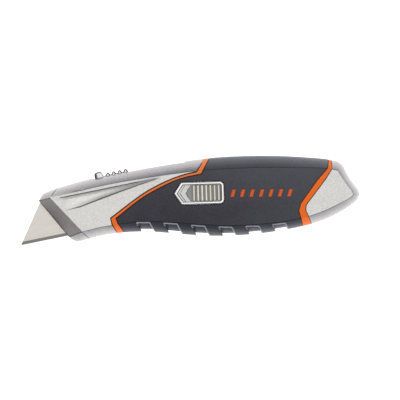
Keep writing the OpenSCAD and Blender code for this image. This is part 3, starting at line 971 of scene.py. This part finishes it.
def round_edges(piece: bpy.types.Object, work: EdgeWork) -> None:
    """Rounds the sharp edges of a piece and marks the new faces.

    Args:
        piece: the piece.
        work: the width and angle of the rounding.
    """
    mesh = piece.data
    weigh_edges(mesh, work.least_angle)
    bevel = piece.modifiers.new("round", "BEVEL")
    bevel.width = work.width * MM
    bevel.segments = work.segments
    bevel.limit_method = "WEIGHT"
    bevel.use_clamp_overlap = False
    bevel.material = 1
    mesh.materials.clear()
    mesh.materials.append(None)
    mesh.materials.append(None)
    apply_modifier(piece, bevel)
    mesh = piece.data
    mark = mesh.attributes.new(EDGE_MARK, "FLOAT", "CORNER")
    for face in mesh.polygons:
        value = 1.0 if face.material_index == 1 else 0.0
        for corner in face.loop_indices:
            mark.data[corner].value = value
        face.material_index = 0
    mesh.materials.clear()
    only(piece)
    bpy.ops.object.shade_smooth_by_angle(angle=math.radians(work.smooth_angle))
    even = piece.modifiers.new("even", "WEIGHTED_NORMAL")
    even.keep_sharp = True
    apply_modifier(piece, even)


def finished(piece: bpy.types.Object, finish: bpy.types.Material, body: str) -> None:
    """Gives a piece its material and its body, and reports it.

    Args:
        piece: the piece.
        finish: its material.
        body: the CAD body that it rides on.
    """
    piece.data.materials.clear()
    piece.data.materials.append(finish)
    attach(piece, body)
    LOG.info("%s: %d faces on %s", piece.name, len(piece.data.polygons), body)


def keep_within(piece: bpy.types.Object, source: bpy.types.Object) -> None:
    """Brings back any corner that the rounding pushed outside the node's own box.

    Args:
        piece: the rounded piece.
        source: the CAD node it was made from.
    """
    places = [corner.co for corner in source.data.vertices]
    low = [min(place[axis] for place in places) for axis in range(3)]
    high = [max(place[axis] for place in places) for axis in range(3)]
    for corner in piece.data.vertices:
        corner.co = [min(max(corner.co[axis], low[axis]), high[axis]) for axis in range(3)]


def welded(node: str) -> bpy.types.Object:
    """Makes a welded copy of a CAD node.

    Args:
        node: the CAD node.

    Returns:
        The new piece, which stands for the node.
    """
    piece = bpy.data.objects.new(node + "_made", frame["nodes"][node].data.copy())
    bpy.context.scene.collection.objects.link(piece)
    only(piece)
    bpy.ops.object.mode_set(mode="EDIT")
    bpy.ops.mesh.select_all(action="SELECT")
    bpy.ops.mesh.remove_doubles(threshold=WELD_GAP * MM)
    bpy.ops.object.mode_set(mode="OBJECT")
    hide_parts(node)
    return piece


def refined(node: str, work: EdgeWork) -> bpy.types.Object:
    """Makes a welded copy of a CAD node, with its flat faces joined and its edges rounded.

    Args:
        node: the CAD node.
        work: how its edges are rounded.

    Returns:
        The new piece, which stands for the node.
    """
    piece = welded(node)
    bpy.ops.object.mode_set(mode="EDIT")
    bpy.ops.mesh.dissolve_limited(angle_limit=math.radians(FLAT_ANGLE))
    bpy.ops.object.mode_set(mode="OBJECT")
    round_edges(piece, work)
    keep_within(piece, frame["nodes"][node])
    return piece


def wound(node: str, joint: str) -> bpy.types.Object:
    """Makes a welded copy of a spring, shaded smooth, and measures its length along its joint.

    Args:
        node: the spring's CAD node.
        joint: the joint that squeezes it.

    Returns:
        The spring, which stands for the node.
    """
    piece = welded(node)
    bpy.ops.object.shade_smooth_by_angle(angle=math.radians(WIRE_ANGLE))
    slide = next(entry for entry in frame["joints"] if entry["name"] == joint)
    run = Vector(slide["axis"]).normalized()
    reach = [run.dot(corner.co) for corner in piece.data.vertices]
    keep = 1 - slide["range_m"][1] / (max(reach) - min(reach))
    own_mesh(piece)
    return piece


# ---------------------------------------------------------------- sub-assemblies

# How the small steel parts are rounded.
SMALL_PART = EdgeWork(0.15, segments=1)


@dataclass
class Handle:
    """The two halves of the handle: cast shells, rubber grips and colour stripes."""

    shell_edges: EdgeWork = EdgeWork(0.25, least_angle=36, smooth_angle=20)
    grip_edges: EdgeWork = EdgeWork(0.24, least_angle=26, smooth_angle=32)
    front_edges: EdgeWork = EdgeWork(0.45, least_angle=60, smooth_angle=38)
    rear_edges: EdgeWork = EdgeWork(0.26, least_angle=60, smooth_angle=38)

    def build(self) -> None:
        """Makes and dresses all eight pieces of the handle."""
        metal = ShellMetal().material()
        rubber = GripRubber().material()
        stripe = StripePlastic().material()
        for body in ("base", "cover"):
            finished(refined(body + "_shell", self.shell_edges), metal, body)
            finished(refined(body + "_grip", self.grip_edges), rubber, body)
            for end, edges in (("front", self.front_edges), ("rear", self.rear_edges)):
                piece = refined(f"{body}_{end}_stripe", edges)
                finished(piece, stripe, body)


@dataclass
class BladeUnit:
    """The blade on its carrier, and the spare blades on their magnet."""

    blade_edges: EdgeWork = EdgeWork(0.06, segments=1)
    carrier_edges: EdgeWork = EdgeWork(0.25)
    magnet_edges: EdgeWork = EdgeWork(0.2)
    spare_count: int = 3
    # The front corner of the spare blades' cutting edge, and how far they lean in degrees.
    spare_corner: Point = (83.96, -5.804)
    spare_turn: float = -7.5

    def build(self) -> None:
        """Makes and dresses the blades, the carrier and the magnet."""
        steel = BladeSteel().material()
        finished(refined("blade", self.blade_edges), steel, "carrier")
        spare = BladeSteel("spare_steel", corner=self.spare_corner, turn=self.spare_turn)
        spare_steel = spare.material()
        for number in range(1, self.spare_count + 1):
            piece = refined(f"spare_blade_{number}", self.blade_edges)
            finished(piece, spare_steel, "base")
        carrier = refined("blade_carrier", self.carrier_edges)
        finished(carrier, CARRIER_PLASTIC.material(), "carrier")
        magnet = refined("spare_magnet", self.magnet_edges)
        finished(magnet, MAGNET_IRON.material(), "base")


@dataclass
class ThumbSlide:
    """The thumb button with its spring and its row of stops."""

    button_edges: EdgeWork = EdgeWork(0.5, least_angle=35)
    strip_edges: EdgeWork = EdgeWork(0.12, segments=1)

    def build(self) -> None:
        """Makes and dresses the button, the strip of stops and the spring."""
        button = refined("thumb_button", self.button_edges)
        finished(button, ButtonMetal().material(), "button")
        strip = refined("detent_strip", self.strip_edges)
        finished(strip, STRIP_STEEL.material(), "base")
        spring = wound("button_spring", "thumb_press")
        finished(spring, SPRING_STEEL.material(), "carrier")


@dataclass
class SideLatch:
    """The latch on the side of the cover: frame, arrow plate, ribbed pad and its works."""

    frame_edges: EdgeWork = EdgeWork(0.22, least_angle=35)
    plate_edges: EdgeWork = EdgeWork(0.15, least_angle=35)
    pad_edges: EdgeWork = EdgeWork(0.2, least_angle=12)

    def build(self) -> None:
        """Makes and dresses every piece of the latch."""
        bezel = refined("latch_bezel", self.frame_edges)
        finished(bezel, FRAME_METAL.material(), "cover")
        plate = refined("latch_arrow_plate", self.plate_edges)
        finished(plate, PLATE_METAL.material(), "cover")
        pad = refined("latch_button", self.pad_edges)
        finished(pad, PadMetal().material(), "latch")
        for node, finish, body in (
                ("latch_bar", LATCH_STEEL, "latch"), ("latch_retainer", LATCH_STEEL, "cover"),
                ("latch_screw", SCREW_STEEL, "latch"), ("retainer_screws", SCREW_STEEL, "cover")):
            finished(refined(node, SMALL_PART), finish.material(), body)
        spring = wound("latch_spring", "latch_slide")
        finished(spring, SPRING_STEEL.material(), "cover")


@dataclass
class Pivot:
    """The screw that the cover turns on, with its washer."""

    screw_edges: EdgeWork = EdgeWork(0.25)

    def build(self) -> None:
        """Makes and dresses the screw and the washer."""
        screw = refined("pivot_screw", self.screw_edges)
        finished(screw, SCREW_STEEL.material(), "cover")
        washer = refined("pivot_washer", SMALL_PART)
        finished(washer, LATCH_STEEL.material(), "base")


@dataclass
class GripMark:
    """A row of plain slanted bars on the cover's grip."""

    count: int = 7
    middle: Point = (122.9, 1.6)
    pitch: float = 4.7
    width: float = 1.7
    height: float = 3.6
    slant: float = 1.1
    stands_out: float = 0.12
    depth: float = 0.6
    turn: float = -11.0
    edges: EdgeWork = EdgeWork(0.08)
    paint: StripePlastic = StripePlastic(
        "bar_paint", colour=(0.75, 0.12, 0.02), pale=(0.70, 0.12, 0.03),
        edge_shade=(0.42, 0.07, 0.015))

    def bar(self, number: int) -> bpy.types.Object:
        """Makes one bar.

        Args:
            number: its place in the row.

        Returns:
            The bar, a leaning block with sharp edges.
        """
        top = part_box("cover_shell")[1][2]
        along = (number - (self.count - 1) / 2) * self.pitch
        turn = math.radians(self.turn)
        middle = Vector((
            (self.middle[0] + TIP_X + along * math.cos(turn)) * MM,
            (self.middle[1] + TIP_Y + along * math.sin(turn)) * MM,
            top + (self.stands_out - self.depth / 2) * MM))
        only_nothing()
        bpy.ops.mesh.primitive_cube_add(
            size=1, location=middle, rotation=(0, 0, turn),
            scale=(self.width * MM, self.height * MM, self.depth * MM))
        piece = bpy.context.object
        piece.name = f"grip_bar_{number + 1}"
        bpy.ops.object.transform_apply(location=True, rotation=True, scale=True)
        lean = Vector((math.cos(turn), math.sin(turn), 0)) * self.slant / 2 * MM
        rise = Vector((-math.sin(turn), math.cos(turn), 0))
        for up in (1, -1):
            select_where(piece, lambda place: (place - middle).dot(rise) * up > 0)
            bpy.ops.object.mode_set(mode="EDIT")
            bpy.ops.transform.translate(value=lean * up)
            bpy.ops.object.mode_set(mode="OBJECT")
        return piece

    def build(self) -> None:
        """Makes and dresses the row of bars."""
        material = self.paint.material()
        for number in range(self.count):
            piece = self.bar(number)
            round_edges(piece, self.edges)
            finished(piece, material, "cover")


# ---------------------------------------------------------------- studio


@dataclass
class Studio:
    """Pale floor, soft light from above, grey surroundings and the camera."""

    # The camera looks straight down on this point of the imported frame, in millimetres.
    middle: Point = (6.68, -0.32)
    roll: float = 11.55
    lens: float = 270.0
    sensor: float = 36.0
    # These are in metres, and the lamp's power is in watts.
    distance: float = 1.5
    lamp_height: float = 1.8
    lamp_size: float = 1.5
    lamp_power: float = 3.5
    lamp_colour: Colour = (1.0, 0.99, 0.975)
    floor_size: float = 4.0
    floor_squares: int = 8
    floor_drop: float = 0.0003
    floor_pale: Colour = (0.26, 0.26, 0.26)
    floor_dark: Colour = (0.22, 0.22, 0.22)
    floor_roughness: float = 0.8
    floor_glow: float = 1.2
    room_light: float = 1.3
    # From the horizon to overhead: the height, its red and green, and its blue.
    room_stops: Tuple[Colour, ...] = (
        (0.0, 0.80, 0.80), (0.05, 0.55, 0.57), (0.15, 0.31, 0.335), (0.72, 0.31, 0.33),
        (0.9, 0.6, 0.6), (1.0, 0.68, 0.67))

    def floor(self) -> None:
        """Makes the floor, which glows a little so that shadows stay faint."""
        only_nothing()
        bpy.ops.mesh.primitive_grid_add(
            x_subdivisions=self.floor_squares, y_subdivisions=self.floor_squares,
            size=self.floor_size, location=(0, 0, -self.floor_drop))
        floor = bpy.context.object
        floor.name = "floor"
        net = Net("floor_paper")
        fine = net.grain(size=2)
        tone = net.mix((fine * 0.5 + 0.5).clipped(), self.floor_pale, self.floor_dark)
        floor.data.materials.append(net.finish(
            Base_Color=tone, Roughness=self.floor_roughness, Specular_IOR_Level=0.0,
            Emission_Color=(1, 1, 1), Emission_Strength=self.floor_glow))

    def surroundings(self) -> None:
        """Sets the light of the room: pale near the horizon, grey higher up, bright overhead."""
        world = bpy.data.worlds.new("studio")
        bpy.context.scene.world = world
        world.use_nodes = True
        tree = world.node_tree
        tree.nodes.clear()
        where = tree.nodes.new("ShaderNodeTexCoord")
        parts = tree.nodes.new("ShaderNodeSeparateXYZ")
        ramp = tree.nodes.new("ShaderNodeValToRGB")
        light = tree.nodes.new("ShaderNodeBackground")
        output = tree.nodes.new("ShaderNodeOutputWorld")
        tree.links.new(where.outputs["Generated"], parts.inputs[0])
        tree.links.new(parts.outputs["Z"], ramp.inputs["Fac"])
        tree.links.new(ramp.outputs["Color"], light.inputs["Color"])
        tree.links.new(light.outputs["Background"], output.inputs["Surface"])
        while len(ramp.color_ramp.elements) < len(self.room_stops):
            ramp.color_ramp.elements.new(0.5)
        for element, (at, red, blue) in zip(ramp.color_ramp.elements, self.room_stops):
            element.position = at
            element.color = (red, red, blue, 1)
        light.inputs["Strength"].default_value = self.room_light

    def lamp(self) -> None:
        """Hangs the wide soft lamp over the knife."""
        bpy.ops.object.light_add(type="AREA", location=(0, 0, self.lamp_height))
        lamp = bpy.context.object
        lamp.data.shape = "DISK"
        lamp.data.size = self.lamp_size
        lamp.data.energy = self.lamp_power
        lamp.data.color = self.lamp_colour

    def camera(self) -> None:
        """Sets up the camera straight over the cover's face."""
        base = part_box("cover_shell")[0][2]
        bpy.ops.object.camera_add(
            location=(self.middle[0] * MM, self.middle[1] * MM, base + self.distance),
            rotation=(0, 0, -math.radians(self.roll)))
        camera = bpy.context.object
        camera.data.lens = self.lens
        camera.data.sensor_width = self.sensor
        bpy.context.scene.camera = camera

    def build(self) -> None:
        """Builds the whole studio."""
        self.camera()
        self.floor()
        self.surroundings()
        self.lamp()
        bpy.context.scene.view_settings.view_transform = "Standard"


def main() -> None:
    """Builds every sub-assembly in order and reports it."""
    logging.basicConfig(level=logging.INFO, format="%(message)s")
    for assembly in (Studio(), Handle(), BladeUnit(), ThumbSlide(), SideLatch(), Pivot(), GripMark()):
        LOG.info("building %s", type(assembly).__name__)
        assembly.build()


if __name__ == "__main__":
    main()
